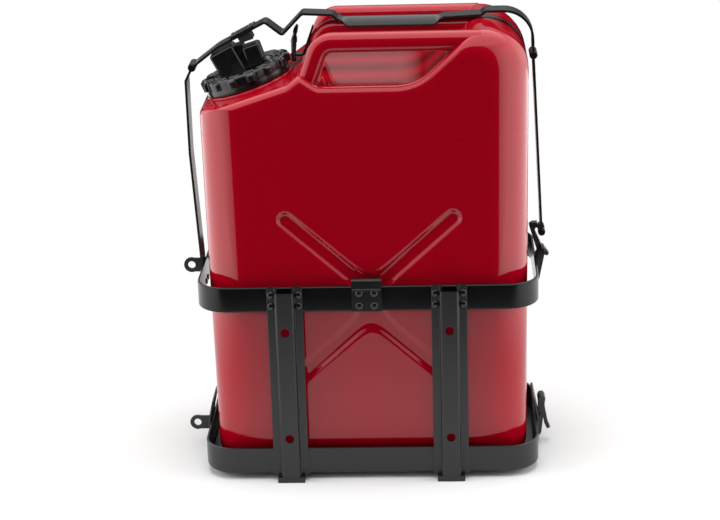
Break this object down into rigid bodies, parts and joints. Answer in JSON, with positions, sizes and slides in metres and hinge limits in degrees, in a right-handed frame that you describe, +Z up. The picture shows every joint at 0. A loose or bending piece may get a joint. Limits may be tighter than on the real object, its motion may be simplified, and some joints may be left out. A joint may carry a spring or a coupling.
{
  "type": "jerry can in a carrier",
  "caption": "Steel jerry can with carry handles and a screw-ring filler cap, held by a hinged strap in a bolt-on carrier tray with a waist band.",
  "frame": {"origin": "on the plane that both feet stand on, midway between the uprights and midway through the depth of the can", "axes": "+Z is up, -Y is the front, where the uprights with the mounting holes are, and +X is the latch's side, opposite the filler"},
  "size_m": [0.3985, 0.198, 0.4873],
  "materials": {
    "can_paint": "gloss",
    "carrier_coat": "satin",
    "cap_plastic": "satin",
    "rubber": "matte",
    "fastener_steel": "satin"
  },
  "bodies": {
    "can_and_carrier": {"front_shell": "can_paint", "rear_shell": "can_paint", "front_handle": "can_paint", "middle_handle": "can_paint", "rear_handle": "can_paint", "filler_neck": "can_paint", "cap_gasket": "rubber", "cap_insert": "cap_plastic", "cap_tether": "cap_plastic", "tray": "carrier_coat", "band": "carrier_coat", "band_joint_plate": "carrier_coat", "band_joint_rivets": "fastener_steel", "left_upright": "carrier_coat", "right_upright": "carrier_coat", "upright_rivets": "fastener_steel", "left_foot": "carrier_coat", "right_foot": "carrier_coat", "left_tray_guide": "carrier_coat", "right_tray_guide": "carrier_coat", "band_eye": "carrier_coat", "tray_eye": "carrier_coat", "left_stay": "carrier_coat", "stay_rivets": "fastener_steel", "left_hinge_pin": "fastener_steel", "latch_bracket": "carrier_coat", "latch_pin": "fastener_steel", "hook_bracket": "carrier_coat", "hook_pin": "fastener_steel"},
    "cap_ring": {"cap_ring": "cap_plastic"},
    "strap": {"top_strap": "carrier_coat", "strap_plate": "carrier_coat", "strap_pad": "rubber", "pad_rivets": "fastener_steel", "right_hinge_pin": "fastener_steel"},
    "link": {"right_link": "carrier_coat", "link_bolt": "fastener_steel"},
    "latch_hook": {"latch_hook": "carrier_coat"},
    "tray_hook": {"tray_hook": "carrier_coat"}
  },
  "joints": [
    {"name": "cap_turn", "type": "hinge", "parent": "can_and_carrier", "child": "cap_ring", "pos_m": [-0.11953, 0, 0.41257], "axis": [-0.309, 0, 0.9511], "range_deg": [0, 360]},
    {"name": "strap_swing", "type": "hinge", "parent": "can_and_carrier", "child": "strap", "pos_m": [-0.1784, 0, 0.4315], "axis": [0, -1, 0], "range_deg": [0, 120]},
    {"name": "link_swing", "type": "hinge", "parent": "strap", "child": "link", "pos_m": [0.1754, 0, 0.438], "axis": [0, -1, 0], "range_deg": [0, 90]},
    {"name": "latch_swing", "type": "hinge", "parent": "can_and_carrier", "child": "latch_hook", "pos_m": [0.184, 0, 0.2237], "axis": [0, 1, 0], "range_deg": [0, 9]},
    {"name": "tray_hook_swing", "type": "hinge", "parent": "can_and_carrier", "child": "tray_hook", "pos_m": [0.1845, 0, 0.052], "axis": [0, -1, 0], "range_deg": [0, 110]}
  ]
}
